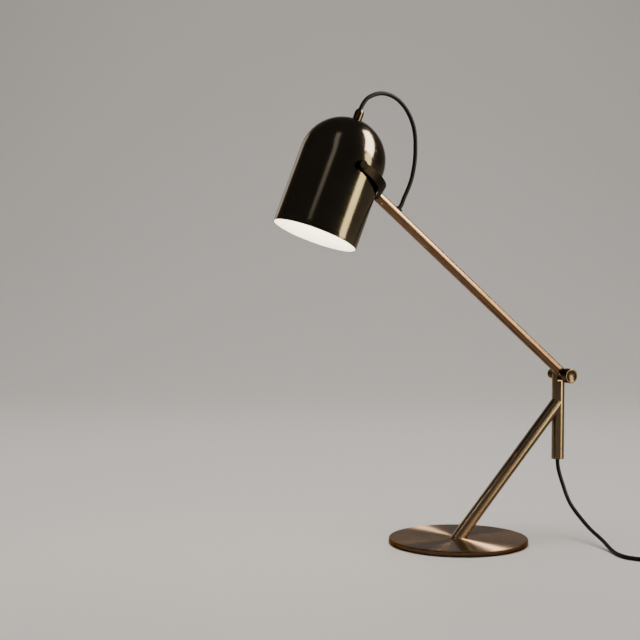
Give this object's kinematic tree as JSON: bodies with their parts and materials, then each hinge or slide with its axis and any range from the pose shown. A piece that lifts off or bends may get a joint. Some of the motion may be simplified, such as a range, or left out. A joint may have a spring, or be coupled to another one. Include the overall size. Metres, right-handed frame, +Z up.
{
  "type": "adjustable table lamp",
  "caption": "Adjustable brass table lamp: round foot, leaning stem and upright, swing arm on a clamped elbow, bullet shade tilting in a half-ring yoke, cord with in-line switch",
  "frame": {"origin": "centre of the foot's underside, on the table", "axes": "+Z up; the stem leans towards +X and the head is on the -X side; the knob faces -Y"},
  "size_m": [0.5783, 0.295, 0.5443],
  "materials": {
    "aged_brass": "brushed",
    "shade_brass": "brushed",
    "plated_steel": "satin",
    "contact_brass": "bright",
    "black_plastic": "matt",
    "black_cord": "matt",
    "felt": "matt",
    "white_insulator": "matt",
    "bulb_glass": "frosted"
  },
  "bodies": {
    "stand": {"base_plate": "aged_brass", "base_pad": "felt", "stem_bolt": "plated_steel", "stem_washer": "plated_steel", "stem_plug": "plated_steel", "lower_stem": "aged_brass", "upright_tube": "aged_brass", "cord_bush": "black_plastic", "upright_lead": "black_cord", "upright_head": "aged_brass", "elbow_bolt": "plated_steel", "elbow_cap": "aged_brass", "friction_washer": "black_plastic", "mains_cord": "black_cord", "switch_base": "black_plastic", "switch_cover": "black_plastic", "rocker_pin": "plated_steel", "switch_screws": "plated_steel", "switch_terminals": "contact_brass", "cord_coil": "black_cord", "coil_tie": "black_plastic", "plug_lead": "black_cord", "plug_body": "black_plastic", "plug_pins": "plated_steel"},
    "arm": {"arm_knuckle": "aged_brass", "knob_washer": "plated_steel", "arm_tube": "aged_brass", "arm_lead": "black_cord", "arm_grommet": "black_cord", "arm_tip": "aged_brass", "yoke_screw": "plated_steel", "yoke": "aged_brass", "head_cord": "black_cord"},
    "shade": {"shade_shell": "shade_brass", "pivot_bushes": "aged_brass", "pivot_screws": "aged_brass", "pivot_nuts": "plated_steel", "cord_grip": "aged_brass", "grip_screw": "plated_steel", "holder_lead": "black_cord", "nipple": "plated_steel", "nipple_nut": "plated_steel", "holder_cap": "black_plastic", "holder_core": "white_insulator", "holder_sleeve": "black_plastic", "screw_shell": "contact_brass", "centre_contact": "contact_brass", "bulb_cap": "plated_steel", "bulb_glass": "bulb_glass"},
    "knob": {"elbow_knob": "aged_brass"},
    "rocker": {"switch_rocker": "black_plastic"}
  },
  "joints": [
    {"name": "arm_tilt", "type": "hinge", "parent": "stand", "child": "arm", "pos_m": [0.148, -0.012, 0.2015], "axis": [0, 1, 0], "range_deg": [-35, 45]},
    {"name": "shade_tilt", "type": "hinge", "parent": "arm", "child": "shade", "pos_m": [-0.17097, -0.012, 0.45589], "axis": [0, 1, 0], "range_deg": [-5, 35], "deforming": ["head_cord"]},
    {"name": "knob_turn", "type": "hinge", "parent": "stand", "child": "knob", "pos_m": [0.148, -0.02, 0.2015], "axis": [0, -1, 0], "range_deg": [-180, 180]},
    {"name": "rocker_tilt", "type": "hinge", "parent": "stand", "child": "rocker", "pos_m": [0.205, -0.198, 0.0134], "axis": [0, 1, 0], "range_deg": [0, 14]}
  ]
}
